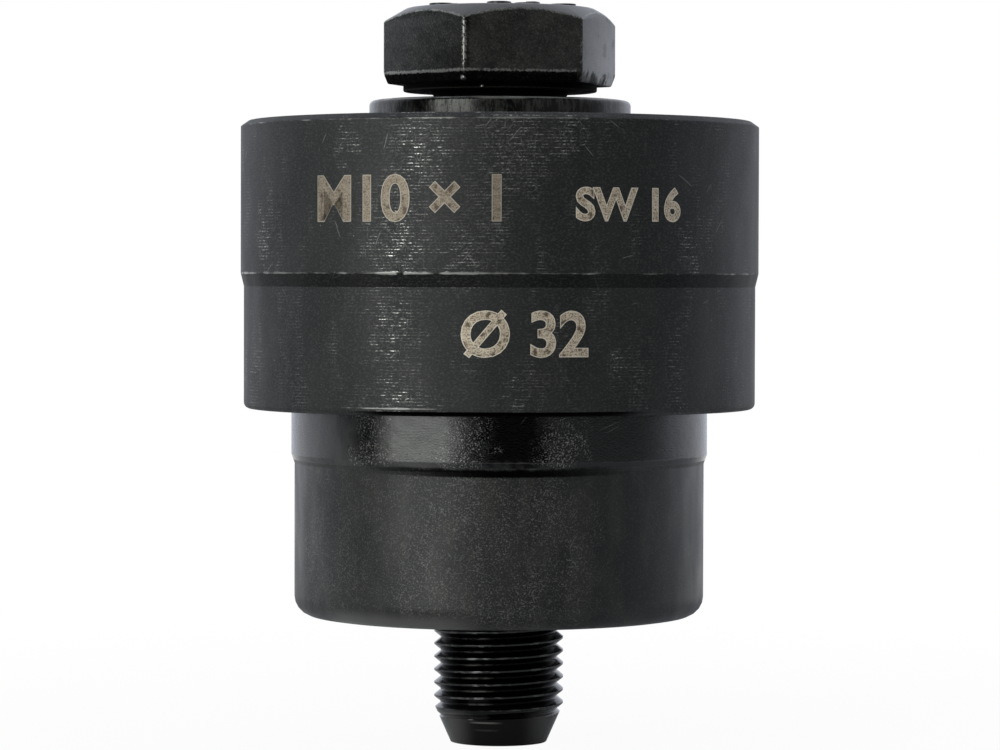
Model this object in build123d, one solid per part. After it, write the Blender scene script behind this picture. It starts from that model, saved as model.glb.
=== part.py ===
from build123d import *
import os
from math import cos, degrees, pi, radians, sin, sqrt, tan

# A screw-drawn hole punch for sheet metal. A hexagon-headed draw bolt passes down through a
# thrust washer and the die, and screws into the punch below. Turning the bolt draws the punch
# up into the die, and the sheet between them is cut to a round hole.
# Millimetres, with Z up along the bolt. The origin is the middle of the bolt's tip face.

# Draw bolt
shank_length = 50.0
shank_diameter = 9.95
tip_face_diameter = 7.4
tip_taper_angle = 24.0
head_across_flats = 15.85
head_height = 6.55
head_turn = 12.6
washer_face_diameter = 14.9
washer_face_height = 0.5
head_crown_diameter = 13.8
head_crown_angle = 30.0
head_foot_taper_width = 0.28
head_foot_taper_height = 0.8
neck_bevel = 0.45

# Thrust washer
washer_diameter = 20.1
washer_thickness = 1.6
washer_top_round = 0.4
washer_foot_bevel = 0.2
head_gap = 0.7

# Die
die_height = 22.0
die_shoulder_diameter = 39.8
die_skirt_diameter = 39.3
die_crown_bevel_width = 0.6
die_crown_bevel_height = 0.42
skirt_height = 9.4
shoulder_taper_height = 1.2
rim_bevel = 0.3
die_cavity_depth = 12.0
bore_land_height = 4.0
bore_relief = 0.25
cavity_bevel = 0.5
die_hole_bevel = 0.5

# Punch
punch_height = 27.6
cutting_diameter = 32.0
body_diameter = 31.5
body_height = 11.7
body_taper_height = 0.7
foot_round = 1.5
hub_height = 14.15
cup_diameter = 24.0
cup_floor_bevel = 1.5
edge_bevel_depth = 9.0
edge_width = 0.5
thread_bevel = 0.8

# Cutting teeth
tooth_count = 3
tooth_depth = 5.5
tooth_point_width = 0.6
tooth_back_angle = 12.0
first_tooth_angle = 30.0

# Straight bands that make up each quarter round
round_bands = 4

# Clearances, each on the radius or along the axis
cutting_clearance = 0.10
thread_clearance = 0.075
bolt_play = 0.275
point_gap = 0.3

# Heights from the tip, worked down from the bolt's head
head_seat = shank_length
washer_top = head_seat - head_gap
die_top = washer_top - washer_thickness
die_rim = die_top - die_height
cavity_ceiling = die_rim + die_cavity_depth
punch_points = cavity_ceiling - point_gap
punch_foot = punch_points - punch_height
cup_floor = punch_foot + hub_height

# Radii that mating pieces share
shank_radius = shank_diameter / 2
clearance_hole_radius = shank_radius + bolt_play
threaded_hole_radius = shank_radius + thread_clearance
cutting_radius = cutting_diameter / 2
bore_radius = cutting_radius + cutting_clearance


def turned(outline):
    """A solid turned about Z from its half section, a closed run of (radius, height) points."""
    section = make_face(Plane.XZ * Polyline(*outline, close=True))
    return revolve(section, Axis.Z)


def quarter_round(centre_radius, centre_height, size, start_angle):
    """Points along a rounded edge of a turned outline, in short straight bands."""
    steps = [radians(start_angle + 90 * band / round_bands) for band in range(round_bands + 1)]
    return [(centre_radius + size * cos(step), centre_height + size * sin(step)) for step in steps]


def ring_edges(solid, radius, height):
    """The round edges of a turned solid at one radius and height."""
    rings = solid.edges().filter_by(GeomType.CIRCLE)
    rings = rings.filter_by(lambda edge: abs(edge.radius - radius) < 0.01)
    return rings.filter_by(lambda edge: abs(edge.arc_center.Z - height) < 0.01)


def draw_bolt():
    """A hexagon head with a turned crown and a tapered foot, on a round shank with a tapered tip."""
    across_corners = head_across_flats / cos(pi / 6)
    head_foot = head_seat + washer_face_height
    taper_top = head_foot + head_foot_taper_height
    head_top = head_seat + head_height
    crown_drop = (across_corners - head_crown_diameter) / 2 * tan(radians(head_crown_angle))

    hexagon = RegularPolygon(head_across_flats / 2, 6, major_radius=False, rotation=head_turn)
    foot_size = 1 - 2 * head_foot_taper_width / head_across_flats
    foot_hexagon = scale(hexagon, foot_size)
    foot = loft([Pos(0, 0, head_foot) * foot_hexagon, Pos(0, 0, taper_top) * hexagon])
    prism = extrude(Pos(0, 0, taper_top) * hexagon, head_top - taper_top)
    crown = turned([
        (0, head_foot),
        (across_corners / 2, head_foot),
        (across_corners / 2, head_top - crown_drop),
        (head_crown_diameter / 2, head_top),
        (0, head_top),
    ])
    head = (foot + prism) & crown
    face = Pos(0, 0, head_seat) * extrude(Circle(washer_face_diameter / 2), washer_face_height)

    taper_height = (shank_radius - tip_face_diameter / 2) / tan(radians(tip_taper_angle))
    shank = turned([
        (0, 0),
        (tip_face_diameter / 2, 0),
        (shank_radius, taper_height),
        (shank_radius, head_seat - neck_bevel),
        (shank_radius + neck_bevel, head_seat),
        (0, head_seat),
    ])
    return head + face + shank


def thrust_washer():
    """A flat ring with a well-rounded upper edge, loose on the shank."""
    washer_radius = washer_diameter / 2
    round_radius = washer_radius - washer_top_round
    round_height = washer_top - washer_top_round
    return turned([
        (clearance_hole_radius, die_top),
        (washer_radius - washer_foot_bevel, die_top),
        (washer_radius, die_top + washer_foot_bevel),
        *quarter_round(round_radius, round_height, washer_top_round, 0),
        (clearance_hole_radius, washer_top),
    ])


def die():
    """A thick-based cup with its mouth down: a sharp-edged bore with relief above its land."""
    shoulder_radius = die_shoulder_diameter / 2
    skirt_radius = die_skirt_diameter / 2
    relief_radius = bore_radius + bore_relief
    skirt_top = die_rim + skirt_height
    land_top = die_rim + bore_land_height
    cup = turned([
        (clearance_hole_radius, die_top),
        (shoulder_radius - die_crown_bevel_width, die_top),
        (shoulder_radius, die_top - die_crown_bevel_height),
        (shoulder_radius, skirt_top + shoulder_taper_height),
        (skirt_radius, skirt_top),
        (skirt_radius, die_rim + rim_bevel),
        (skirt_radius - rim_bevel, die_rim),
        (bore_radius, die_rim),
        (bore_radius, land_top),
        (relief_radius, land_top + bore_relief),
        (relief_radius, cavity_ceiling - cavity_bevel),
        (relief_radius - cavity_bevel, cavity_ceiling),
        (clearance_hole_radius, cavity_ceiling),
    ])
    hole_mouths = ring_edges(cup, clearance_hole_radius, die_top)
    hole_mouths += ring_edges(cup, clearance_hole_radius, cavity_ceiling)
    return chamfer(hole_mouths, die_hole_bevel)


def tooth_valley():
    """The round cutter that sinks one valley of the punch's wavy rim, along +X to the axis.

    It runs inwards and down at the back angle, which leaves the outer edge highest, and
    neighbouring valleys meet in a sharp point.
    """
    fall = tan(radians(tooth_back_angle))
    half_width = cutting_radius * sin(pi / tooth_count) - tooth_point_width / 2
    set_back = cutting_radius - sqrt(cutting_radius**2 - half_width**2)
    rise = tooth_depth + set_back * fall
    cutter_radius = (half_width**2 + rise**2) / (2 * rise)

    start = 2 * cutting_radius
    cutter_height = punch_points - tooth_depth + cutter_radius + (start - cutting_radius) * fall
    outside = Plane(origin=(start, 0, cutter_height), x_dir=(0, 1, 0), z_dir=(1, 0, 0))
    inwards = Vector(-1, 0, -fall)
    return extrude(outside * Circle(cutter_radius), start * inwards.length, dir=inwards)


def punch():
    """A cup with a threaded hub, whose bevelled rim is cut into a wave of sharp teeth."""
    body_radius = body_diameter / 2
    cup_radius = cup_diameter / 2
    body_top = punch_foot + body_height
    cup = turned([
        (threaded_hole_radius, punch_foot),
        *quarter_round(body_radius - foot_round, punch_foot + foot_round, foot_round, -90),
        (body_radius, body_top),
        (cutting_radius, body_top + body_taper_height),
        (cutting_radius, punch_points),
        (cutting_radius - edge_width, punch_points),
        (cup_radius, punch_points - edge_bevel_depth),
        (cup_radius, cup_floor + cup_floor_bevel),
        (cup_radius - cup_floor_bevel, cup_floor),
        (threaded_hole_radius, cup_floor),
    ])
    thread_mouths = ring_edges(cup, threaded_hole_radius, punch_foot)
    thread_mouths += ring_edges(cup, threaded_hole_radius, cup_floor)
    cup = chamfer(thread_mouths, thread_bevel)
    first_valley = first_tooth_angle + degrees(pi / tooth_count)
    for tooth in range(tooth_count):
        cup -= Rot(0, 0, first_valley + tooth * 360 / tooth_count) * tooth_valley()
    return cup


os.makedirs("parts", exist_ok=True)
for name, piece in (
    ("draw_bolt", draw_bolt()),
    ("thrust_washer", thrust_washer()),
    ("die", die()),
    ("punch", punch()),
):
    export_step(piece, f"parts/{name}.step")
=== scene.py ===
from math import cos, pi, radians, sin, sqrt, tan

import bmesh
import bpy
from mathutils import Matrix, Vector


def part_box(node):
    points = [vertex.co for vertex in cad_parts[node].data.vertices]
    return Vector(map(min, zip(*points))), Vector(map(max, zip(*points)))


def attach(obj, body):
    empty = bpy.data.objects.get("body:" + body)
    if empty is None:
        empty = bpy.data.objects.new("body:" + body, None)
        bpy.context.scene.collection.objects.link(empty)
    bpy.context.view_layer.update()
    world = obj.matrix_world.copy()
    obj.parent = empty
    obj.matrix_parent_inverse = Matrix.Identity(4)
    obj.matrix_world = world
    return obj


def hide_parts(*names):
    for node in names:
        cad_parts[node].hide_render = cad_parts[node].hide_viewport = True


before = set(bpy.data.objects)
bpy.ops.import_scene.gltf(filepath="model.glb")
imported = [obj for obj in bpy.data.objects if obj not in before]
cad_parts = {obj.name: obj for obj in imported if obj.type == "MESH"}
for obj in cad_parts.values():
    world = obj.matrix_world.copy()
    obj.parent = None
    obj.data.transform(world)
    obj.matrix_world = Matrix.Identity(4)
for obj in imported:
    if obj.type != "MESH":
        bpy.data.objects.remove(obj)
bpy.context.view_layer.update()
MM = 0.001


# The punch: the lower cup, turned in one piece from tool steel, with a tapped hub that rides on
# the draw bolt. Its rim is ground to the size of the hole, milled into three sharp teeth, and the
# whole is hardened, blackened and oiled.
punch_low, punch_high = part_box("punch")
punch_foot = punch_low.z
punch_points = punch_high.z
cutting_radius = punch_high.x
body_radius = cutting_radius - 0.25 * MM
body_top = punch_foot + 11.7 * MM
land_foot = body_top + 0.7 * MM
foot_round = 1.5 * MM
cup_radius = 12 * MM
cup_floor = punch_foot + 14.15 * MM
edge_width = 0.5 * MM
edge_bevel_depth = 9 * MM
thread_hole_radius = 5.05 * MM
thread_bevel = 0.8 * MM
tooth_count = 3
tooth_depth = 5.5 * MM
tooth_point_width = 0.6 * MM
tooth_back_angle = radians(12)
first_valley_angle = radians(30 + 180 / tooth_count)
broken_edge = 0.12 * MM
softened_corner = 0.5 * MM


def set_up(thing, **settings):
    """Sets several fields of one thing and returns it."""
    for field, value in settings.items():
        setattr(thing, field, value)
    return thing


def add_node(tree, kind, links=(), **settings):
    """A new node, with its fields set and its inputs linked or given a value by name."""
    node = set_up(tree.nodes.new(kind), **settings)
    for name, value in dict(links).items():
        if isinstance(value, bpy.types.NodeSocket):
            tree.links.new(value, node.inputs[name])
        else:
            node.inputs[name].default_value = value
    return node


def reckon(operation, *values):
    """The result of one sum on sockets and plain numbers, in the tree of the first socket."""
    tree = next(value.id_data for value in values if isinstance(value, bpy.types.NodeSocket))
    return add_node(tree, "ShaderNodeMath", enumerate(values), operation=operation).outputs[0]


def times(value, *others):
    """The product of several values."""
    for other in others:
        value = reckon("MULTIPLY", value, other)
    return value


def scaled(value, factor, plus):
    """The value times the factor, plus something more."""
    return reckon("MULTIPLY_ADD", value, factor, plus)


def point(tree, **ways):
    """A place from how far it lies along X, Y and Z."""
    return add_node(tree, "ShaderNodeCombineXYZ", ways).outputs[0]


def new_object(name, data):
    """A new object in the scene."""
    made = bpy.data.objects.new(name, data)
    bpy.context.collection.objects.link(made)
    return made


def new_tree(name, **inputs):
    """An empty Geometry Nodes tree that makes one piece from the inputs named under each kind."""
    tree = bpy.data.node_groups.new(name, "GeometryNodeTree")
    for kind, labels in inputs.items():
        for label in labels:
            tree.interface.new_socket(label, in_out="INPUT", socket_type="NodeSocket" + kind)
    tree.interface.new_socket("Piece", in_out="OUTPUT", socket_type="NodeSocketGeometry")
    return tree, tree.nodes.new("NodeGroupInput").outputs


def close_tree(tree, geometry, finish):
    """Ends a tree with real geometry in the piece's finish, and returns it."""
    real = add_node(tree, "GeometryNodeRealizeInstances", {"Geometry": geometry})
    painted = add_node(tree, "GeometryNodeSetMaterial", {"Geometry": real.outputs[0], "Material": finish})
    add_node(tree, "NodeGroupOutput", {"Piece": painted.outputs[0]})
    return tree


def run_tree(piece, tree, **values):
    """Gives a piece's modifier its sizes by socket identifier and leaves the plain mesh it makes."""
    modifier = piece.modifiers.new(tree.name, "NODES")
    modifier.node_group = tree
    for item in tree.interface.items_tree:
        label = item.name.lower().replace(" ", "_")
        if label in values:
            modifier[item.identifier] = values[label]
    return plain_mesh(piece)


def plain_mesh(piece):
    """Swaps a piece's mesh for its evaluated one and clears its modifiers."""
    bpy.context.view_layer.update()
    depsgraph = bpy.context.evaluated_depsgraph_get()
    mesh = bpy.data.meshes.new_from_object(piece.evaluated_get(depsgraph))
    piece.modifiers.clear()
    piece.data = mesh
    return piece


def smooth(piece, crease=radians(28)):
    """Shades a piece smooth, apart from the edges that turn more than the crease angle."""
    piece.data.shade_smooth()
    piece.data.set_sharp_from_angle(angle=crease)


def half_section(name, corners, guard=0.25 * MM):
    """A closed outline of (radius, height, rounding) corners, drawn as (radius, height) in XY.

    Each corner has a guard point on both sides, so that its round doesn't shade the flats.
    """
    points = []
    count = len(corners)
    for index, (radius, height, rounding) in enumerate(corners):
        here = Vector((radius, height, 0))
        before = Vector((*corners[index - 1][:2], 0))
        after = Vector((*corners[(index + 1) % count][:2], 0))
        step = rounding + guard
        for neighbour in (before, here, after):
            reach = (neighbour - here).length
            if neighbour is here:
                points.append((here, rounding))
            elif radius > 0 and reach > 2.2 * step:
                points.append((here + (neighbour - here) * step / reach, 0.0))
    mesh = bpy.data.meshes.new(name)
    loop = [(index, (index + 1) % len(points)) for index in range(len(points))]
    mesh.from_pydata([point for point, rounding in points], loop, [])
    rounds = mesh.attributes.new("rounding", "FLOAT", "POINT")
    rounds.data.foreach_set("value", [rounding for point, rounding in points])
    return new_object(name, mesh)


def turning_tree():
    """Rounds the corners of a half section and turns it about Z into a closed skin."""
    tree, inputs = new_tree(
        "turning", Geometry=["Half Section"], Float=["Turning Radius"],
        Int=["Facets Around", "Facets In Round"], Material=["Finish"],
    )
    section = add_node(tree, "GeometryNodeMeshToCurve", {"Mesh": inputs["Half Section"]})
    rounding = add_node(tree, "GeometryNodeInputNamedAttribute", {"Name": "rounding"}, data_type="FLOAT")
    rounded = add_node(tree, "GeometryNodeFilletCurve", {
        "Curve": section.outputs[0],
        "Count": inputs["Facets In Round"],
        "Radius": rounding.outputs["Attribute"],
        "Limit Radius": True,
    }, mode="POLY")
    hung = add_node(tree, "GeometryNodeTransform", {
        "Geometry": rounded.outputs[0],
        "Translation": point(tree, X=times(inputs["Turning Radius"], -1.0)),
        "Rotation": (pi, 0, 0),
    })
    path = add_node(tree, "GeometryNodeCurvePrimitiveCircle", {
        "Resolution": inputs["Facets Around"],
        "Radius": inputs["Turning Radius"],
    })
    skin = add_node(tree, "GeometryNodeCurveToMesh", {
        "Curve": path.outputs[0],
        "Profile Curve": hung.outputs[0],
    })
    outward = add_node(tree, "GeometryNodeFlipFaces", {"Mesh": skin.outputs[0]})
    closed = add_node(tree, "GeometryNodeMergeByDistance", {
        "Geometry": outward.outputs[0],
        "Distance": 0.001 * MM,
    })
    return close_tree(tree, closed.outputs[0], inputs["Finish"])


def turned(name, corners, finish):
    """A piece turned on the lathe from its half section."""
    return run_tree(
        half_section(name, corners), turning, finish=finish, turning_radius=30 * MM,
        facets_around=192, facets_in_round=5,
    )


turning = turning_tree()


def new_finish(name):
    """A node material, its surface shader and the place on the piece."""
    material = bpy.data.materials.new(name)
    material.use_nodes = True
    tree = material.node_tree
    return material, tree.nodes["Principled BSDF"], add_node(tree, "ShaderNodeTexCoord").outputs["Object"]


def link(node, label, value):
    """Feeds one input of a node."""
    node.id_data.links.new(value, node.inputs[label])


def vectors(operation, *values):
    """The outputs of one sum on places, of which Value is the one that gives a number."""
    tree = values[0].id_data
    return add_node(tree, "ShaderNodeVectorMath", enumerate(values), operation=operation).outputs


def along(place, axis):
    """How far a place lies along one of its axes."""
    return add_node(place.id_data, "ShaderNodeSeparateXYZ", {0: place}).outputs[axis]


def noise(place, size, stretch=(1, 1, 1), detail=2.0, seed=0.0):
    """Clouds or grains of one size in metres, 0 to 1, drawn out along the axes by stretch."""
    pace = [1 / (size * longer) for longer in stretch]
    at = vectors("MULTIPLY_ADD", place, pace, [seed] * 3)[0]
    settings = {"Vector": at, "Scale": 1.0, "Detail": detail}
    return add_node(place.id_data, "ShaderNodeTexNoise", settings).outputs["Fac"]


def ramp(value, low, high, start=0.0, end=1.0, kind="LINEAR"):
    """The start at the low value and the end at the high one, held there beyond them."""
    limits = {"Value": value, "From Min": low, "From Max": high, "To Min": start, "To Max": end}
    return add_node(value.id_data, "ShaderNodeMapRange", limits, interpolation_type=kind).outputs["Result"]


def between(value, low, high):
    """0 at the low value and 1 at the high one, with a soft way from one to the other."""
    return ramp(value, low, high, kind="SMOOTHSTEP")


def shade(share, first, second):
    """A colour on its way from the first to the second."""
    ends = [value if isinstance(value, bpy.types.NodeSocket) else (*value, 1) for value in (first, second)]
    mixed = add_node(share.id_data, "ShaderNodeMix", {0: share, 6: ends[0], 7: ends[1]}, data_type="RGBA")
    return mixed.outputs[2]


def blend(share, first, second):
    """A number on its way from the first to the second."""
    mixed = add_node(share.id_data, "ShaderNodeMix", {0: share, 2: first, 3: second}, data_type="FLOAT")
    return mixed.outputs[0]


def turned_place(place):
    """The place in a turned piece's half section, (radius, 0, height), and its radius and height."""
    flat = vectors("MULTIPLY", place, (1, 1, 0))[0]
    radius = vectors("LENGTH", flat)["Value"]
    height = along(place, "Z")
    return point(place.id_data, X=radius, Z=height), radius, height


def near_edge(section, radius, height, reach):
    """1 on a turned edge, falling to 0 at the reach from it."""
    return between(vectors("DISTANCE", section, (radius, 0, height))["Value"], reach, 0.0)


def most(value, *others):
    """The greatest of several values."""
    for other in others:
        value = reckon("MAXIMUM", value, other)
    return value


def rest_of(share):
    """What a share leaves of the whole."""
    return reckon("SUBTRACT", 1.0, share)


def specks(place, spacing, size, share, seed=0.0):
    """Small round specks in a share of the cells of a loose net."""
    at = vectors("MULTIPLY_ADD", place, [1 / spacing] * 3, [seed] * 3)[0]
    cells = add_node(place.id_data, "ShaderNodeTexVoronoi", {"Vector": at, "Scale": 1.0}).outputs
    spot = between(cells["Distance"], size / spacing, 0.4 * size / spacing)
    return times(spot, reckon("LESS_THAN", along(cells["Color"], "X"), share))


def on_wall(radius, way, height):
    """A place on a turned wall, so many degrees to the right of its front."""
    return Vector((radius * sin(radians(way)), -radius * cos(radians(way)), height))


def near_spot(place, radius, way, height, reach, core, wander=0.0):
    """1 within the core of a spot on a turned wall and 0 from its reach, both moved by the wander."""
    off = vectors("DISTANCE", place, on_wall(radius, way, height))["Value"]
    return between(reckon("SUBTRACT", off, wander), reach, core)


def apart(value, other):
    """How far two values lie apart."""
    return reckon("ABSOLUTE", reckon("SUBTRACT", value, other))


def hairs(place, slant, seed):
    """Stray scratches as fine as hairs, so many degrees out of level."""
    turn = {"Vector": place, "Rotation": (0, radians(slant), 0)}
    level = add_node(place.id_data, "ShaderNodeMapping", turn).outputs[0]
    return between(noise(level, 0.07 * MM, stretch=(9, 9, 1), detail=1, seed=seed), 0.66, 0.76)


def scratches(place, radius, strokes, wander):
    """Fine scratches on a turned wall, each from its way, height, slant and reach.

    Ways and slants are in degrees, heights and reaches in millimetres.
    """
    drawn = []
    for way, lift, slant, reach in strokes:
        level = Vector((cos(radians(way)), sin(radians(way)), 0))
        upward = Vector((0, 0, cos(radians(slant)))) - level * sin(radians(slant))
        raised = vectors("DOT_PRODUCT", place, upward)["Value"]
        off = reckon("ADD", apart(raised, on_wall(radius, way, lift * MM).dot(upward)), wander)
        near = near_spot(place, radius, way, lift * MM, reach * MM, 0.4 * reach * MM)
        drawn.append(times(between(off, 0.075 * MM, 0.02 * MM), near))
    return most(*drawn)


def put_relief(shader, relief):
    """Bends the light on a surface by its relief in metres."""
    bump = add_node(shader.id_data, "ShaderNodeBump", {"Height": relief, "Distance": 1.0})
    link(shader, "Normal", bump.outputs[0])


def dress(shader, black, roughness, relief, bare, dull_black_and_painted_shade):
    """Puts black oxide on a piece over its relief in metres.

    It is worn through to grey steel where bare is 1, which on the bolt and the punch's foot also stands
    for painted glints and painted sheen, and it turns dull black, its gloss lost, where sooty is 1, which
    holds dull and stained spots but also painted shade under and between parts.
    """
    link(shader, "Base Color", shade(bare, black, (0.5, 0.5, 0.465)))
    link(shader, "Metallic", most(bare, dull_black_and_painted_shade))
    link(shader, "Roughness", blend(bare, roughness, 0.27))
    put_relief(shader, relief)


unlit_black = (0.0006, 0.0006, 0.0006)
punch_steel, shader, place = new_finish("oiled_black_punch")
section, radius, height = turned_place(place)
cloud = noise(place, 2.4 * MM, stretch=(0.8, 0.8, 2.0), detail=5, seed=3)
grain = noise(place, 0.09 * MM, detail=2, seed=5)
wander = scaled(noise(place, 1.2 * MM, detail=4, seed=7), 5 * MM, -2.5 * MM)
on_land = times(
    between(radius, cutting_radius - 0.2 * MM, cutting_radius - 0.14 * MM),
    between(height, land_foot - 0.45 * MM, land_foot - 0.35 * MM),
)

# The dark band at the foot of the land, where the light can't reach
off_side = reckon("ABSOLUTE", along(place, "Y"))
rising = scaled(off_side, 0.06, height)
ragged_top = scaled(noise(place, 0.9 * MM, detail=3, seed=18), -0.4 * MM, rising)
shaded_band = times(
    between(ragged_top, body_top + 1.12 * MM, body_top + 0.8 * MM),
    between(rising, body_top + 0.48 * MM, body_top + 0.64 * MM),
    between(off_side, 11.5 * MM, 16.2 * MM),
)

# Matt oxide on the body, densest at its front, and glossy oxide on the land
fuzzy = most(
    near_spot(place, body_radius, -5, body_top - 6.5 * MM, 10.5 * MM, 6.0 * MM, wander),
    times(near_spot(place, body_radius, -52, body_top - 6 * MM, 9 * MM, 3 * MM, wander), 0.6),
)
mist = noise(place, 2.6 * MM, stretch=(0.8, 0.8, 1.6), detail=4, seed=25)
fuzzy = scaled(times(fuzzy, scaled(between(mist, 0.38, 0.62), 0.8, 0.6)), 0.72, 0.26)
dark_oxide = shade(between(cloud, 0.4, 0.62), (0.0016, 0.0021, 0.002), (0.0132, 0.0142, 0.0108))
dark_oxide = shade(times(between(grain, 0.44, 0.7), fuzzy), dark_oxide, (0.03, 0.031, 0.025))
punch_black = shade(on_land, dark_oxide, (0.0026, 0.0028, 0.0024))
punch_black = shade(shaded_band, punch_black, unlit_black)
rough = blend(on_land, scaled(cloud, -0.3, 0.56), 0.16)

# A dark blotch, a black spot at the front painted as a dark reflection, and wiped and dusty spots of the
# land
dark_blotch = near_spot(place, cutting_radius, -39, land_foot + 1.7 * MM, 1.9 * MM, 0.2 * MM, wander)
painted_dark_reflection = near_spot(place, cutting_radius, 4, land_foot + 1.7 * MM, 3.3 * MM, 1.9 * MM, wander)
hazed = near_spot(place, cutting_radius, -58, land_foot + 1.2 * MM, 6.8 * MM, 3.4 * MM, wander)
calm = times(wander, 0.45)
wiped = near_spot(place, cutting_radius, -22, land_foot + 2.0 * MM, 4.7 * MM, 1.8 * MM, calm)
dusty = most(*[
    near_spot(place, cutting_radius, way, land_foot + lift * MM, reach * MM, core * MM, wander)
    for way, lift, reach, core in (
        (-8, 2.0, 2.6, 1.0), (17, 1.4, 2.8, 0.8), (-12, -0.4, 2.4, 1.0), (-37, 3.3, 2.0, 1.0),
        (-37, -0.3, 2.6, 1.0),
    )
])

# The body's grain, and the land's ground waves and lines under a skin of oil
peel = noise(place, 0.1 * MM, stretch=(1.6, 1.6, 1), detail=2, seed=8)
land_relief = times(peel, scaled(wiped, -0.01 * MM, 0.018 * MM))
ground_waves = times(noise(place, 1.1 * MM, detail=2, seed=24), 0.024 * MM)
ground_lines = reckon("SINE", scaled(height, 2 * pi / (0.21 * MM), times(cloud, 30.0)))
land_relief = reckon("ADD", land_relief, scaled(ground_lines, 0.0004 * MM, ground_waves))
relief = blend(on_land, times(grain, 0.011 * MM), land_relief)

# Dust and hairs, and a painted sheen on the foot at its left
grit = noise(place, 0.12 * MM, detail=2, seed=6)
stray = most(hairs(place, 62, 21), hairs(place, -38, 22), hairs(place, 8, 23))
painted_sheen_on_foot = near_spot(place, body_radius, -32, punch_foot, 8.0 * MM, 4.0 * MM)
painted_sheen_on_foot = times(painted_sheen_on_foot, between(height, punch_foot + 1.5 * MM, punch_foot + 0.2 * MM))
body_dust = times(most(times(between(grit, 0.54, 0.68), 0.2), times(stray, 0.21)), fuzzy)
body_dust = most(body_dust, times(painted_sheen_on_foot, 0.26))
beads = between(noise(place, 0.12 * MM, detail=2, seed=9), 0.52, 0.66)
land_dust = most(
    times(beads, dusty, 0.45),
    times(hazed, scaled(cloud, 0.16, -0.03)),
    times(wiped, scaled(peel, 0.18, 0.062)),
)
dust = blend(on_land, body_dust, land_dust)

# Worn edges, specks and scratches
broken = noise(place, 0.35 * MM, stretch=(1.8, 1.8, 1), detail=4, seed=2)
breaks = reckon("ADD", broken, noise(place, 3 * MM, detail=2, seed=13))
rubbed_edges = most(
    near_edge(section, cutting_radius, land_foot, 0.22 * MM),
    near_edge(section, cutting_radius, punch_points, 0.2 * MM),
    times(near_edge(section, body_radius, body_top, 0.1 * MM), 0.5),
)
edge_bare = between(times(rubbed_edges, breaks), 0.8, 1.3)
bits = specks(place, 1.2 * MM, 0.06 * MM, 0.2, seed=4)
land_strokes = (6.9, 25.5, 50, 0.7), (30.8, 24.9, 20, 1.2), (31.5, 24.6, 24, 0.8)
scored = scratches(place, cutting_radius, land_strokes, times(grain, 0.05 * MM))
bare = most(dust, times(edge_bare, 0.1), times(bits, 0.4), times(scored, 0.22))
bare = times(bare, rest_of(shaded_band))
# Dull black for the dark blotch, for the front spot as a painted dark reflection, and for the band below
# the land as painted shade
land_dark_spots = most(times(dark_blotch, 0.6), times(painted_dark_reflection, 0.82))
dull_black_and_painted_shade = most(shaded_band, times(land_dark_spots, on_land))
dress(shader, punch_black, rough, relief, bare, dull_black_and_painted_shade)


def valley_tree():
    """Sinks the valleys between the teeth into a cup's rim, each with one round sloping cutter."""
    tree, inputs = new_tree(
        "milled rim", Geometry=["Cup"], Int=["Valleys"], Material=["Finish"],
        Float=["First Angle", "Cutter Radius", "Cutter Height", "Rim Radius", "Fall"],
    )
    cutter = add_node(tree, "GeometryNodeMeshCylinder", {
        "Vertices": 256,
        "Radius": inputs["Cutter Radius"],
        "Depth": times(inputs["Rim Radius"], 2.0),
    })
    lying = add_node(tree, "GeometryNodeTransform", {
        "Geometry": cutter.outputs["Mesh"],
        "Translation": point(tree, X=inputs["Rim Radius"], Z=inputs["Cutter Height"]),
        "Rotation": (0, pi / 2, 0),
    })
    place = add_node(tree, "GeometryNodeInputPosition").outputs[0]
    beyond = reckon("SUBTRACT", along(place, "X"), inputs["Rim Radius"])
    sloping = add_node(tree, "GeometryNodeSetPosition", {
        "Geometry": lying.outputs[0],
        "Offset": point(tree, Z=times(beyond, inputs["Fall"])),
    })
    stations = add_node(tree, "GeometryNodeMeshLine", {"Count": inputs["Valleys"], "Offset": (0, 0, 0)})
    index = add_node(tree, "GeometryNodeInputIndex").outputs[0]
    angle = scaled(index, reckon("DIVIDE", 2 * pi, inputs["Valleys"]), inputs["First Angle"])
    cutters = add_node(tree, "GeometryNodeInstanceOnPoints", {
        "Points": stations.outputs[0],
        "Instance": sloping.outputs[0],
        "Rotation": point(tree, Z=angle),
    })
    cutters = add_node(tree, "GeometryNodeRealizeInstances", {"Geometry": cutters.outputs[0]})
    milled = add_node(tree, "GeometryNodeMeshBoolean", {
        "Mesh 1": inputs["Cup"],
        "Mesh 2": cutters.outputs[0],
        "Self Intersection": True,
    }, operation="DIFFERENCE", solver="EXACT")
    return close_tree(tree, milled.outputs[0], inputs["Finish"])


punch = turned("punch_cup", (
    (thread_hole_radius + thread_bevel, punch_foot, broken_edge),
    (body_radius, punch_foot, foot_round),
    (body_radius, body_top, broken_edge),
    (cutting_radius, land_foot, broken_edge),
    (cutting_radius, punch_points, 0),
    (cutting_radius - edge_width, punch_points, 0),
    (cup_radius, punch_points - edge_bevel_depth, softened_corner),
    (cup_radius, cup_floor, 1.5 * MM),
    (thread_hole_radius + thread_bevel, cup_floor, broken_edge),
    (thread_hole_radius, cup_floor - thread_bevel, 0),
    (thread_hole_radius, punch_foot + thread_bevel, 0),
), punch_steel)
half_width = cutting_radius * sin(pi / tooth_count) - tooth_point_width / 2
set_back = cutting_radius - sqrt(cutting_radius**2 - half_width**2)
tooth_rise = tooth_depth + set_back * tan(tooth_back_angle)
cutter_radius = (half_width**2 + tooth_rise**2) / (2 * tooth_rise)
run_tree(
    punch, valley_tree(), valleys=tooth_count, first_angle=first_valley_angle, finish=punch_steel,
    cutter_radius=cutter_radius, cutter_height=punch_points - tooth_depth + cutter_radius,
    rim_radius=cutting_radius, fall=tan(tooth_back_angle),
)
smooth(punch)
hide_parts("punch")
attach(punch, "punch")


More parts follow.
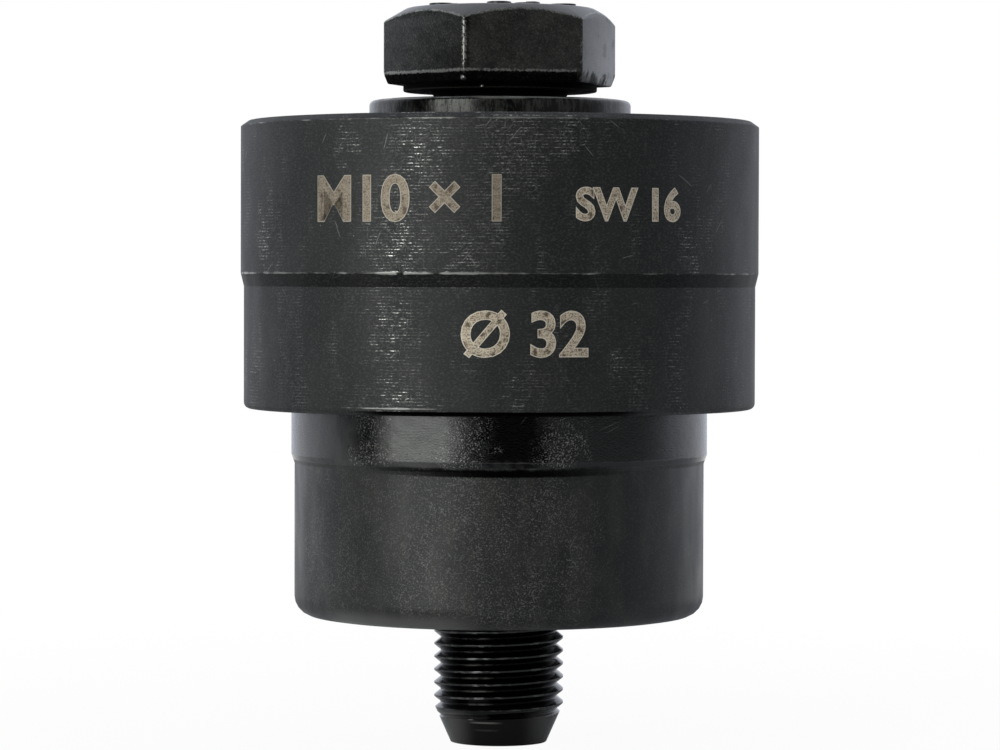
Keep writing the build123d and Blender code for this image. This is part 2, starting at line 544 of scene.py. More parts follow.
# The die: the upper cup, mouth down, turned in one piece from tool steel. The sheet lies on its
# rim, the punch enters its ground bore, and the bolt passes its plain hole. It is blackened over
# the marks of the lathe, and its sizes are etched through the black.
die_low, die_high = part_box("die")
die_rim = die_low.z
die_top = die_high.z
mark_height = 0.006 * MM
shoulder_radius = die_high.x - mark_height
skirt_radius = shoulder_radius - 0.244 * MM
skirt_top = die_rim + 9.35 * MM
shoulder_foot = skirt_top + 1.0 * MM
bore_radius = cutting_radius + 0.1 * MM
relief_radius = bore_radius + 0.25 * MM
bore_land_top = die_rim + 4 * MM
cavity_ceiling = die_rim + 12 * MM
bolt_hole_radius = 5.25 * MM
hole_bevel = 0.5 * MM
crown_bevel_width = 0.6 * MM
crown_bevel_height = 0.42 * MM
rim_round = 0.45 * MM
sharp_edge = 0.02 * MM
line_pitch = 0.23 * MM
crown_foot = die_top - crown_bevel_height
worn_spots = (
    (-17, 45.0, 3.0), (-22, 38.2, 3.2), (-8, 37.4, 1.9), (3, 46.0, 3.3), (14, 46.6, 1.6), (-34, 45.8, 0.9),
    (44, 37.4, 1.5), (-22, 26.6, 2.3), (-23, 31.6, 2.4), (3, 28.0, 1.0), (26, 29.4, 0.8), (-62, 38.5, 1.7),
)
die_strokes = (
    (-36.3, 39.1, -66, 0.6), (-36.8, 39.6, -58, 0.4), (-59.2, 36.5, 34, 0.7), (-74.8, 45.0, 40, 0.6),
    (-40.2, 45.9, 60, 0.5), (18.9, 44.9, -48, 0.6), (42.7, 43.0, -28, 0.8), (44.0, 42.7, -30, 0.6),
    (50.9, 42.4, 45, 0.5), (54.7, 39.6, 46, 0.8), (3.2, 46.1, 50, 0.9), (27.9, 37.3, 14, 0.6),
    (24.6, 46.9, -35, 0.6), (-5.5, 36.9, -55, 0.5), (-6.8, 37.3, 48, 0.6), (-2.4, 46.9, 52, 0.5),
    (-4.0, 46.7, 8, 0.5), (20.9, 35.3, -65, 0.6), (-36.7, 35.8, 18, 0.6), (-37.6, 35.9, 62, 0.4),
    (30.0, 33.9, 16, 0.4), (31.0, 33.8, 48, 0.3), (50.8, 34.0, 20, 0.5), (-24.5, 45.6, 74, 0.8),
    (-26.3, 38.6, 68, 0.7),
)


def feed_lines(height):
    """The waves that the feed of the lathe leaves, 0 to 1."""
    return scaled(reckon("SINE", times(height, 2 * pi / line_pitch)), 0.5, 0.5)


die_steel, shader, place = new_finish("blackened_turned_steel")
section, radius, height = turned_place(place)
cloud = noise(place, 4 * MM, stretch=(0.8, 0.8, 1.6), detail=4, seed=6)
grain = noise(place, 0.12 * MM, stretch=(1.5, 1.5, 1), detail=2, seed=8)
wander = scaled(noise(place, 1.1 * MM, detail=4, seed=17), 4.6 * MM, -2.3 * MM)

# Oxide over the lines of the lathe
turned_lines = feed_lines(height)
line_depth = noise(place, 0.35 * MM, stretch=(80, 80, 1), detail=2, seed=1)
cut_lines = scaled(turned_lines, 0.001 * MM, times(line_depth, 0.0015 * MM))
relief = scaled(grain, 0.009 * MM, cut_lines)
rough = scaled(cloud, -0.2, 0.66)
die_black = shade(between(cloud, 0.35, 0.68), (0.0026, 0.0032, 0.0031), (0.0082, 0.0089, 0.0076))
die_black = shade(between(grain, 0.44, 0.7), die_black, (0.0215, 0.0225, 0.0195))

# The spots that hands and other tools have rubbed, where the crests of the lines are bare
squat = 0.62
squat_place = vectors("MULTIPLY", place, (1, 1, squat))[0]
worn = most(*[
    near_spot(squat_place, shoulder_radius, way, squat * lift * MM, 1.3 * reach * MM, 0.0, wander)
    for way, lift, reach in worn_spots
])
patches = noise(place, 2.2 * MM, stretch=(0.8, 0.8, 2.4), detail=4, seed=9)
handled = most(worn, times(between(patches, 0.48, 0.72), 0.42))
line_wear = noise(place, 0.18 * MM, stretch=(5, 5, 1), detail=3, seed=10)
dots = noise(place, 0.09 * MM, stretch=(2.0, 2.0, 1), detail=1, seed=11)
lines = times(between(turned_lines, 0.55, 0.97), between(line_wear, 0.43, 0.57), handled)
glints = scaled(times(lines, between(dots, 0.5, 0.62)), 0.88, times(lines, 0.13))
haze = times(between(grain, 0.5, 0.74), scaled(handled, 0.066, 0.03))
stray = most(hairs(place, 38, 12), hairs(place, -64, 16), hairs(place, 84, 19))
stray = times(stray, scaled(handled, 0.26, 0.025))
scored = scratches(place, shoulder_radius, die_strokes, times(grain, 0.06 * MM))
bits = specks(place, 1.2 * MM, 0.07 * MM, 0.25, seed=14)

# Worn edges, broken up, fainter to the right and with one nick
rim_wear = near_spot(place, skirt_radius, -22, die_rim + 0.5 * MM, 4.6 * MM, 1.6 * MM)
rubbed_edges = most(
    near_edge(section, shoulder_radius, shoulder_foot, 0.3 * MM),
    times(near_edge(section, shoulder_radius, crown_foot, 0.24 * MM), 0.9),
    times(near_edge(section, shoulder_radius - crown_bevel_width, die_top, 0.12 * MM), 0.7),
    times(near_edge(section, skirt_radius, die_rim + 0.54 * MM, 0.17 * MM), scaled(rim_wear, 0.34, 0.7)),
    near_edge(section, bore_radius, die_rim, 0.22 * MM),
)
broken = noise(place, 0.4 * MM, stretch=(2.6, 2.6, 1), detail=4, seed=13)
breaks = reckon("ADD", noise(place, 2.5 * MM, detail=2, seed=15), broken)
breaks = scaled(worn, 0.35, breaks)
breaks = scaled(between(along(place, "X"), 2 * MM, 9 * MM), -0.14, breaks)
nicked = near_spot(place, shoulder_radius, -21.2, shoulder_foot, 0.36 * MM, 0.2 * MM)
edge_bare = times(between(times(rubbed_edges, breaks), 0.8, 1.18), rest_of(nicked))

# The dull step between skirt and shoulder, and a black line painted as shadow under the front of the rim
on_step = times(
    between(height, shoulder_foot + 0.02 * MM, shoulder_foot - 0.04 * MM),
    between(height, skirt_top - 0.04 * MM, skirt_top + 0.02 * MM),
)
on_bevel = between(height, crown_foot - 0.05 * MM, crown_foot + 0.05 * MM)
painted_shadow_under_rim = times(
    between(height, die_rim + 0.4 * MM, die_rim + 0.3 * MM),
    between(along(place, "Y"), -15.8 * MM, -17.7 * MM),
)
marks = most(haze, glints, stray, times(bits, 0.4), times(scored, 0.42))
marks = times(marks, rest_of(times(on_step, 0.8)))
bare = times(most(marks, times(edge_bare, 0.62)), rest_of(painted_shadow_under_rim))
dull_black_and_painted_shade = most(
    times(on_step, scaled(worn, 0.1, 0.62)), times(nicked, 0.75), times(on_bevel, 0.3), painted_shadow_under_rim,
)
dress(shader, shade(painted_shadow_under_rim, die_black, unlit_black), rough, relief, bare, dull_black_and_painted_shade)
die = turned("die_cup", (
    (bore_radius, die_rim, sharp_edge),
    (skirt_radius, die_rim, rim_round),
    (skirt_radius, skirt_top, broken_edge),
    (shoulder_radius, shoulder_foot, broken_edge),
    (shoulder_radius, crown_foot, broken_edge),
    (shoulder_radius - crown_bevel_width, die_top, broken_edge),
    (bolt_hole_radius + hole_bevel, die_top, broken_edge),
    (bolt_hole_radius, die_top - hole_bevel, broken_edge),
    (bolt_hole_radius, cavity_ceiling + hole_bevel, broken_edge),
    (bolt_hole_radius + hole_bevel, cavity_ceiling, broken_edge),
    (relief_radius, cavity_ceiling, softened_corner),
    (relief_radius, bore_land_top + 0.25 * MM, 0),
    (bore_radius, bore_land_top, 0),
), die_steel)
smooth(die)
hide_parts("die")
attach(die, "die")


# The die's sizes: the bolt's thread and the wrench's width on the shoulder, and the hole's width on
# the skirt. Each is burnt through the black to bare steel, first as a bright contour, then filled.
etched_steel, shader, place = new_finish("etched_bare_steel")
grain = noise(place, 0.1 * MM, detail=2, seed=40)
stain = noise(place, 0.6 * MM, detail=4, seed=41)
# The words at the right are lighter: partly a cleaner burn and partly painted light
contour, clean_and_painted_light = [
    add_node(shader.id_data, "ShaderNodeAttribute", attribute_name=label).outputs["Fac"]
    for label in ("contour", "clean_and_painted_light")
]
tarnish = between(stain, 0.35, 0.65)
steel = shade(
    clean_and_painted_light,
    shade(tarnish, (0.225, 0.18, 0.128), (0.3, 0.25, 0.188)),
    shade(tarnish, (0.68, 0.56, 0.41), (0.86, 0.74, 0.57)),
)
steel = shade(times(between(grain, 0.54, 0.36), 0.75), steel, (0.1, 0.08, 0.058))
steel = shade(times(between(stain, 0.42, 0.34), 0.8), steel, (0.07, 0.048, 0.032))
steel = shade(times(feed_lines(along(place, "Z")), 0.16), steel, (0.1, 0.08, 0.058))
bright = shade(clean_and_painted_light, (0.4, 0.36, 0.3), (0.92, 0.84, 0.7))
link(shader, "Base Color", shade(times(contour, 0.85), steel, bright))
shader.inputs["Metallic"].default_value = 0.45
link(shader, "Roughness", scaled(grain, 0.2, 0.42))
put_relief(shader, times(grain, 0.004 * MM))


def words_mesh(words, tall, bold, thick):
    """A closed mesh of words lying in XY with Z through their thickness, made bolder by an offset."""
    drawn = new_object("words", set_up(
        bpy.data.curves.new("words", "FONT"), body=words, size=tall, offset=bold, extrude=thick / 2,
        align_x="CENTER", align_y="CENTER", resolution_u=5,
    ))
    bpy.context.view_layer.update()
    mesh = bpy.data.meshes.new_from_object(drawn.evaluated_get(bpy.context.evaluated_depsgraph_get()))
    bpy.data.objects.remove(drawn)
    shape = bmesh.new()
    shape.from_mesh(mesh)
    bmesh.ops.remove_doubles(shape, verts=shape.verts, dist=0.0005 * MM)
    bpy.data.meshes.remove(mesh)
    return shape


def add_mesh(mesh, other):
    """Adds another mesh to a mesh."""
    shape = bmesh.new()
    shape.from_mesh(mesh)
    shape.from_mesh(other)
    shape.to_mesh(mesh)
    shape.free()


def etch(marks, words, tall, bold, turn, middle, radius, proud, contour, clean_and_painted_light):
    """Adds words to the marks, wrapped round a turned wall and just proud of it."""
    thick = 0.02 * MM
    step = 0.25 * MM
    shape = words_mesh(words, tall, bold, thick)
    reach = max(abs(vert.co.x) for vert in shape.verts)
    for cut in range(-int(reach / step), int(reach / step) + 1):
        everything = [*shape.verts, *shape.edges, *shape.faces]
        bmesh.ops.bisect_plane(shape, geom=everything, plane_co=(cut * step, 0, 0), plane_no=(1, 0, 0))
    for vert in shape.verts:
        angle = turn + vert.co.x / radius
        out = radius + (proud if vert.co.z > 0 else -thick)
        vert.co = (out * sin(angle), -out * cos(angle), middle + vert.co.y)
    bmesh.ops.recalc_face_normals(shape, faces=shape.faces)
    mesh = bpy.data.meshes.new("words")
    shape.to_mesh(mesh)
    shape.free()
    for label, value in (("contour", contour), ("clean_and_painted_light", clean_and_painted_light)):
        flags = mesh.attributes.new(label, "FLOAT", "POINT")
        flags.data.foreach_set("value", [value] * len(mesh.vertices))
    add_mesh(marks, mesh)
    bpy.data.meshes.remove(mesh)


contour_bold = 0.13 * MM
filled_bold = 0.07 * MM
marks_mesh = bpy.data.meshes.new("size_marks")
marks_mesh.attributes.new("contour", "FLOAT", "POINT")
marks_mesh.attributes.new("clean_and_painted_light", "FLOAT", "POINT")
for words, tall, turn, middle, radius, clean_and_painted_light in (
    ("M10 \u00d7 1", 4.6 * MM, radians(-20), 41.3 * MM, shoulder_radius, 0.15),
    ("SW 16", 3.2 * MM, radians(28.8), 40.95 * MM, shoulder_radius, 1.0),
    ("\u00d8 32", 4.5 * MM, radians(5.4), 31.5 * MM, skirt_radius, 0.95),
):
    etch(marks_mesh, words, tall, contour_bold, turn, middle, radius, 0.6 * mark_height, 1.0, clean_and_painted_light)
    etch(marks_mesh, words, tall, filled_bold, turn, middle, radius, mark_height, 0.0, clean_and_painted_light)
size_marks = new_object("size_marks", marks_mesh)
marks_mesh.materials.append(etched_steel)
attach(size_marks, "die")


# The thrust washer: a thick pressed ring of steel, loose on the bolt, that lies on the die and
# takes the rubbing of the bolt's head. Its upper edge is well rounded.
washer_low, washer_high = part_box("thrust_washer")
washer_radius = washer_high.x
washer_steel, shader, place = new_finish("rubbed_black_steel")
section, radius, height = turned_place(place)
streaks = noise(place, 0.35 * MM, stretch=(1, 1, 5), detail=3, seed=20)
fine_streaks = noise(place, 0.14 * MM, stretch=(1, 1, 3), detail=2, seed=24)
cloud = noise(place, 1.8 * MM, detail=3, seed=21)
grain = noise(place, 0.12 * MM, detail=2, seed=22)
washer_black = shade(between(cloud, 0.35, 0.7), (0.006, 0.0064, 0.0055), (0.013, 0.0132, 0.0108))
washer_black = shade(times(between(streaks, 0.5, 0.8), 0.6), washer_black, (0.038, 0.037, 0.03))
rough = scaled(between(cloud, 0.4, 0.65), 0.14, 0.18)
relief = scaled(grain, 0.003 * MM, times(streaks, 0.006 * MM))

# Worn edges, and the line that the upper one shows at the front
broken = noise(place, 0.5 * MM, stretch=(3, 3, 1), detail=3, seed=23)
rubbed_edges = most(
    near_edge(section, washer_radius - 0.15 * MM, washer_high.z - 0.1 * MM, 0.26 * MM),
    near_edge(section, bolt_hole_radius, washer_high.z, 0.16 * MM),
)
edge_bare = between(times(rubbed_edges, broken), 0.26, 0.54)
worn_line = times(
    near_spot(place, washer_radius, 1.5, washer_high.z - 0.1 * MM, 2.3 * MM, 1.0 * MM),
    near_edge(section, washer_radius - 0.1 * MM, washer_high.z - 0.12 * MM, 0.2 * MM),
    between(broken, 0.3, 0.55),
)

# One rubbed spot on the wall inside a dull one
wander = times(scaled(cloud, 3 * MM, -1.5 * MM), 0.3)
cracks = noise(place, 0.3 * MM, stretch=(1, 1, 8), detail=2, seed=25)
rubbed = times(
    near_spot(place, washer_radius, -22, washer_low.z + 0.9 * MM, 1.55 * MM, 1.2 * MM, wander),
    between(cracks, 0.45, 0.53),
)
dull = near_spot(place, washer_radius, -31, washer_low.z + 0.8 * MM, 4.6 * MM, 2.8 * MM, wander)
patchy = scaled(fine_streaks, 0.8, streaks)
bare = most(
    times(edge_bare, 0.32), times(rubbed, between(grain, 0.34, 0.6), 0.095),
    times(between(patchy, 0.8, 1.05), 0.07), times(worn_line, 0.75),
)
dull_black_and_painted_shade = most(scaled(between(patchy, 1.02, 0.8), 0.22, 0.05), times(dull, 0.72))
dress(shader, washer_black, rough, relief, bare, times(dull_black_and_painted_shade, scaled(rubbed, -0.6, 1.0)))
washer = turned("thrust_ring", (
    (bolt_hole_radius, washer_low.z, broken_edge),
    (washer_radius, washer_low.z, 0.2 * MM),
    (washer_radius, washer_high.z, 0.4 * MM),
    (bolt_hole_radius, washer_high.z, broken_edge),
), washer_steel)
smooth(washer)
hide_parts("thrust_washer")
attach(washer, "washer")


# The draw bolt: forged in one piece, with a hexagon head for a 16 mm wrench, a washer face under
# it and a rolled right-hand thread of 10 mm by 1 mm pitch, drawn out to a tapered tip.
bolt_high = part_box("draw_bolt")[1]
head_mark_height = 0.18 * MM
head_mark_radius = 5.5 * MM
head_top = bolt_high.z - head_mark_height
head_seat = 50 * MM
washer_face_height = 0.5 * MM
washer_face_radius = 7.45 * MM
head_foot = head_seat + washer_face_height
across_flats = 15.85 * MM
corner_radius = across_flats / 2 / cos(pi / 6)
head_turn = radians(12.6)
slipped_corner = head_turn + 4 * pi / 3
head_crown_radius = 7.2 * MM
head_crown_angle = radians(30)
foot_taper_width = 0.28 * MM
taper_top = head_foot + 0.8 * MM
thread_pitch = 1.0 * MM
thread_crest_radius = 4.975 * MM
thread_root_radius = 4.47 * MM
thread_phase = 0.05
thread_foot = 2.9 * MM
thread_top = 42 * MM
tip_face_radius = 3.7 * MM
tip_taper = tan(radians(24))
neck_bevel = 0.45 * MM
spare = 1 * MM


def across(place, way):
    """How far a place lies towards the way, which is an angle round the bolt."""
    return vectors("DOT_PRODUCT", place, (cos(way), sin(way), 0))["Value"]


def on_flat(place, way):
    """1 on the flat of the hexagon that faces the given way, its tapered foot included."""
    return between(across(place, way), across_flats / 2 - 0.44 * MM, across_flats / 2 - 0.34 * MM)


bolt_steel, shader, place = new_finish("black_bolt_steel")
section, radius, height = turned_place(place)
cloud = noise(place, 1.4 * MM, detail=4, seed=35)
grain = noise(place, 0.13 * MM, detail=2, seed=36)
broken = noise(place, 0.6 * MM, detail=4, seed=31)
fine_breaks = noise(place, 0.16 * MM, detail=2, seed=32)

# Where the head's faces and edges are
widest = most(*[reckon("ABSOLUTE", across(place, head_turn + turn * pi / 6)) for turn in (1, 3, 5)])
off_flat = apart(widest, across_flats / 2)
crown_fall = times(reckon("SUBTRACT", radius, head_crown_radius), tan(head_crown_angle))
off_crown = apart(reckon("ADD", height, crown_fall), head_top)
under_crown = reckon("SUBTRACT", reckon("SUBTRACT", head_top, crown_fall), height)
under_crown = between(under_crown, 0.05 * MM, 0.15 * MM)
way = reckon("SUBTRACT", reckon("ARCTAN2", along(place, "Y"), along(place, "X")), head_turn)
corners = reckon("COSINE", times(way, 6.0))
on_head = between(height, head_foot - 0.1 * MM, head_foot)
left_flat = on_flat(place, head_turn + 7 * pi / 6)
right_flat = on_flat(place, head_turn - pi / 6)
lit_side = times(right_flat, on_head)

# The corner on which a wrench has slipped
slip_place = Vector((cos(slipped_corner), sin(slipped_corner), 0)) * corner_radius
off_slip = vectors("DISTANCE", vectors("MULTIPLY", place, (1, 1, 0))[0], slip_place)["Value"]
chips = noise(place, 0.22 * MM, detail=3, seed=42)
slipped = times(
    between(scaled(fine_breaks, 0.34 * MM, off_slip), 0.5 * MM, 0.3 * MM), under_crown,
    between(height, taper_top + 0.1 * MM, taper_top + 0.5 * MM),
    scaled(between(chips, 0.4, 0.56), 0.65, 0.35),
)

# The head's worn edges
upright_edges = times(between(corners, cos(6 * 0.3 * MM / corner_radius), 1.0), under_crown)
arc_edges = between(most(off_flat, off_crown), 0.3 * MM, 0.0)
off_taper = most(apart(height, taper_top), reckon("SUBTRACT", off_flat, 0.1 * MM))
taper_edges = times(between(off_taper, 0.36 * MM, 0.0), scaled(right_flat, -0.9, 1.0))
crown_edge = near_edge(section, head_crown_radius, head_top, 0.15 * MM)
head_edges = most(
    times(upright_edges, 0.72), times(slipped, 1.45), times(arc_edges, 1.05),
    times(taper_edges, scaled(left_flat, 0.16, 0.94)), times(crown_edge, 0.6),
)
ragged = scaled(fine_breaks, 1.5, scaled(broken, 1.0, -0.25))
head_bare = between(times(head_edges, on_head, ragged), 0.66, 1.1)

# Dust and stray marks on the head, a painted sheen of grey steel on its crown, and two burrs under it
head_dust = scaled(between(cloud, 0.42, 0.62), 0.06, 0.025)
head_dust_and_crown_sheen = most(
    times(specks(place, 1.3 * MM, 0.08 * MM, 0.25, seed=34), 0.4),
    times(between(grain, 0.47, 0.72), head_dust),
    times(most(hairs(place, 70, 38), hairs(place, -55, 39)), 0.06),
    times(rest_of(under_crown), 0.055),
)
burr = most(
    near_spot(place, corner_radius - 0.3 * MM, -18.6, head_foot + 0.12 * MM, 0.34 * MM, 0.08 * MM),
    near_spot(place, washer_face_radius, -10.5, head_seat + 0.1 * MM, 0.2 * MM, 0.05 * MM),
)
face_edge = near_edge(section, washer_face_radius, head_seat, 0.14 * MM)

# The thread's rubbed crests, and the light that its roots catch; both get painted glints of grey steel in
# a band at the front left
crest_breaks = noise(place, 0.5 * MM, stretch=(1.5, 1.5, 0.6), detail=3, seed=33)
crests = times(
    between(radius, thread_crest_radius - 0.1 * MM, thread_crest_radius - 0.01 * MM),
    between(height, thread_top, thread_top - 0.5 * MM), crest_breaks,
)
off_glint = apart(along(place, "X"), -1.6 * MM)
painted_glint_band = times(between(off_glint, 1.4 * MM, 0.3 * MM), between(crest_breaks, 0.36, 0.56))
on_thread = between(height, thread_foot, thread_foot + 0.5 * MM)
at_root = times(
    between(radius, thread_root_radius + 0.07 * MM, thread_root_radius + 0.02 * MM), on_thread,
    between(height, head_seat - 1 * MM, head_seat - 2 * MM),
)
thread_wear_and_painted_glints = most(
    times(between(crests, 0.46, 0.66), scaled(painted_glint_band, 0.34, 0.17)),
    times(at_root, scaled(painted_glint_band, 0.24, 0.02)),
)

# The tapered tip, with painted sheen at both sides and painted glints on two ledges of the first turn
painted_sheen_on_tip_sides = between(reckon("ABSOLUTE", along(place, "X")), 1.6 * MM, 3.8 * MM)
painted_sheen_on_tip_sides = times(painted_sheen_on_tip_sides, between(height, thread_foot, thread_foot - 0.5 * MM))
off_ledge = reckon("MINIMUM", apart(height, 1.85 * MM), apart(height, 1.24 * MM))
painted_tip_glint = times(
    near_spot(place, 4.5 * MM, -14, 1.85 * MM, 1.6 * MM, 0.4 * MM),
    between(off_ledge, 0.11 * MM, 0.03 * MM), between(height, 0.9 * MM, 2.0 * MM),
)
# Grey steel for wear, and for painted glints and painted sheen on the thread, the tip and the crown
bare = most(
    times(head_bare, 0.5), thread_wear_and_painted_glints, times(head_dust_and_crown_sheen, on_head), burr, times(painted_tip_glint, 0.36),
    times(face_edge, fine_breaks, 0.3), times(painted_sheen_on_tip_sides, 0.2),
)

# Oxide: grainy on the forged head, glossy on the thread, and painted shade in black where the head turns
# in at its foot, but not on the lit right face
painted_shade_at_foot = between(height, taper_top, taper_top - 0.12 * MM)
painted_shade_at_foot = times(painted_shade_at_foot, scaled(lit_side, -0.85, 1.0))
head_black = shade(between(cloud, 0.36, 0.68), (0.0125, 0.0132, 0.0118), (0.028, 0.0284, 0.0238))
head_black = shade(between(grain, 0.42, 0.72), head_black, (0.042, 0.0426, 0.0368))
head_black = shade(painted_shade_at_foot, head_black, (0.003, 0.003, 0.003))
bolt_black = shade(on_head, (0.002, 0.0021, 0.0018), head_black)
forged = times(noise(place, 2.2 * MM, detail=1, seed=37), 0.012 * MM)
head_relief = scaled(burr, 0.16 * MM, scaled(grain, 0.0012 * MM, forged))
relief = blend(between(height, head_seat - 0.1 * MM, head_seat), 0.0, head_relief)

# Dull black as painted shade in the grooves, under the head, on the tip and over the head's left face;
# dull stained spots on the head and at the foot of its right face, and gaps in the slipped corner's wear
painted_shade_in_groove = times(
    between(radius, thread_crest_radius - 0.04 * MM, thread_crest_radius - 0.16 * MM),
    scaled(at_root, -0.75, 1.0), on_thread, between(height, head_seat, head_seat - 1 * MM),
)
painted_shade_under_head = times(painted_shade_at_foot, between(height, head_seat - 1 * MM, head_seat))
stained = between(noise(place, 0.8 * MM, detail=5, seed=40), 0.46, 0.62)
drips = noise(place, 1.1 * MM, stretch=(1, 1, 1.6), detail=3, seed=41)
right_foot = times(
    between(height, head_foot + 1.3 * MM, head_foot + 0.7 * MM), lit_side, between(drips, 0.4, 0.6),
)
stains_and_painted_shade = most(scaled(times(left_flat, under_crown), 0.52, times(stained, 0.2)), right_foot)
painted_shade_on_tip = between(height, thread_foot, thread_foot - 0.4 * MM)
slip_gaps = times(slipped, between(fine_breaks, 0.5, 0.6), between(crest_breaks, 0.5, 0.58))
dull_black_and_painted_shade = most(
    times(painted_shade_under_head, 0.93), times(painted_shade_in_groove, 0.82), times(painted_shade_on_tip, 0.35), times(on_head, stains_and_painted_shade),
    times(slip_gaps, 0.8),
)
rough = most(
    blend(on_head, 0.16, scaled(cloud, 0.14, 0.23)), times(painted_shade_under_head, 0.95), times(right_foot, 0.62),
    times(lit_side, between(cloud, 0.44, 0.66), 0.4),
)
dress(shader, bolt_black, rough, relief, bare, dull_black_and_painted_shade)


def hexagon_head():
    """The upright hexagon, its faces turned in a little near the foot."""
    shape = bmesh.new()
    rings = []
    for radius, height in (
        (corner_radius - foot_taper_width / cos(pi / 6), head_foot),
        (corner_radius, taper_top),
        (corner_radius, head_top + spare),
    ):
        angles = [head_turn + corner * pi / 3 for corner in range(6)]
        rings.append([shape.verts.new((radius * cos(a), radius * sin(a), height)) for a in angles])
    for lower, upper in zip(rings, rings[1:]):
        for corner in range(6):
            following = (corner + 1) % 6
            shape.faces.new((lower[corner], lower[following], upper[following], upper[corner]))
    shape.faces.new(list(reversed(rings[0])))
    shape.faces.new(rings[-1])
    mesh = bpy.data.meshes.new("hexagon")
    shape.to_mesh(mesh)
    shape.free()
    return new_object("hexagon", mesh)


crown_drop = (corner_radius + spare - head_crown_radius) * tan(head_crown_angle)
head_envelope = turned("head_envelope", (
    (0, head_foot - spare, 0),
    (corner_radius + spare, head_foot - spare, 0),
    (corner_radius + spare, head_top - crown_drop, 0),
    (head_crown_radius, head_top, 0),
    (0, head_top, 0),
), bolt_steel)
head = hexagon_head()
set_up(
    head.modifiers.new("crown", "BOOLEAN"), operation="INTERSECT", solver="EXACT", object=head_envelope,
)
set_up(
    head.modifiers.new("worn edges", "BEVEL"), width=0.2 * MM, segments=3, limit_method="ANGLE",
    angle_limit=radians(15),
)
plain_mesh(head)
bpy.data.objects.remove(head_envelope)

neck = turned("neck", (
    (0, thread_top - spare, 0),
    (thread_crest_radius, thread_top - spare, 0),
    (thread_crest_radius, head_seat - neck_bevel, 0),
    (thread_crest_radius + neck_bevel, head_seat, 0),
    (washer_face_radius, head_seat, broken_edge),
    (washer_face_radius, head_foot + 0.2 * MM, 0),
    (0, head_foot + 0.2 * MM, 0),
), bolt_steel)


def thread_tree():
    """Winds a grid of points into a right-hand thread that starts on a tapered tip.

    The flats of its crest and root are shares of the pitch, and the run-out is its end under the head.
    """
    half_crest_flat = 0.06
    half_root_flat = 0.03
    run_out = 1.5 * MM
    tree, inputs = new_tree(
        "rolled thread", Geometry=["Nothing"], Int=["Facets Around", "Rows In Pitch"],
        Float=["Pitch", "Crest Radius", "Root Radius", "Top", "Phase", "Tip Radius", "Tip Taper"],
        Material=["Finish"],
    )
    turns = reckon("CEIL", reckon("DIVIDE", inputs["Top"], inputs["Pitch"]))
    rows = times(reckon("ADD", turns, 2.0), inputs["Rows In Pitch"])
    points_up = reckon("ADD", rows, 1.0)
    grid = add_node(tree, "GeometryNodeMeshGrid", {
        "Vertices X": reckon("ADD", inputs["Facets Around"], 1.0),
        "Vertices Y": points_up,
    })
    index = add_node(tree, "GeometryNodeInputIndex").outputs[0]
    column = reckon("FLOOR", reckon("DIVIDE", reckon("ADD", index, 0.5), points_up))
    row = reckon("SUBTRACT", index, times(column, points_up))
    turn = reckon("DIVIDE", column, inputs["Facets Around"])
    travel = reckon("DIVIDE", row, inputs["Rows In Pitch"])
    crest_count = reckon("SUBTRACT", reckon("ADD", travel, turn), 1.0)
    free_height = times(reckon("ADD", crest_count, inputs["Phase"]), inputs["Pitch"])
    height = reckon("MINIMUM", reckon("MAXIMUM", free_height, 0.0), inputs["Top"])
    depth = ramp(reckon("PINGPONG", travel, 0.5), half_crest_flat, 0.5 - half_root_flat)
    fade = ramp(height, reckon("SUBTRACT", inputs["Top"], run_out), inputs["Top"], 1.0, 0.0)
    groove = reckon("SUBTRACT", inputs["Crest Radius"], inputs["Root Radius"])
    wound = reckon("SUBTRACT", inputs["Crest Radius"], times(groove, depth, fade))
    radius = reckon("MINIMUM", wound, scaled(height, inputs["Tip Taper"], inputs["Tip Radius"]))
    angle = times(turn, 2 * pi)
    across = times(radius, reckon("COSINE", angle))
    back = times(radius, reckon("SINE", angle))
    wound_grid = add_node(tree, "GeometryNodeSetPosition", {
        "Geometry": grid.outputs["Mesh"],
        "Position": point(tree, X=across, Y=back, Z=height),
    })
    closed = add_node(tree, "GeometryNodeMergeByDistance", {
        "Geometry": wound_grid.outputs[0],
        "Distance": 0.0005 * MM,
    })
    return close_tree(tree, closed.outputs[0], inputs["Finish"])


bolt = new_object("draw_bolt_threaded", bpy.data.meshes.new("thread"))
run_tree(
    bolt, thread_tree(), pitch=thread_pitch, crest_radius=thread_crest_radius,
    root_radius=thread_root_radius, top=thread_top, phase=thread_phase, tip_radius=tip_face_radius,
    tip_taper=tip_taper, facets_around=96, rows_in_pitch=16, finish=bolt_steel,
)
shape = bmesh.new()
shape.from_mesh(bolt.data)
open_rims = [edge for edge in shape.edges if edge.is_boundary]
bmesh.ops.holes_fill(shape, edges=open_rims)
shape.to_mesh(bolt.data)
shape.free()

# The digits raised on the head
for number, way in (("8", -50), ("0", -1), ("9", 24), ("6", 56)):
    shape = words_mesh(number, 3.4 * MM, 0.18 * MM, 2 * head_mark_height)
    bmesh.ops.rotate(shape, verts=shape.verts, matrix=Matrix.Rotation(radians(way), 3, "Z"))
    bmesh.ops.translate(shape, verts=shape.verts, vec=on_wall(head_mark_radius, way, head_top))
    shape.from_mesh(bolt.data)
    shape.to_mesh(bolt.data)
    shape.free()
for part in (head, neck):
    add_mesh(bolt.data, part.data)
    bpy.data.objects.remove(part)
bolt.data.materials.clear()
bolt.data.materials.append(bolt_steel)
smooth(bolt)
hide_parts("draw_bolt")
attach(bolt, "bolt")


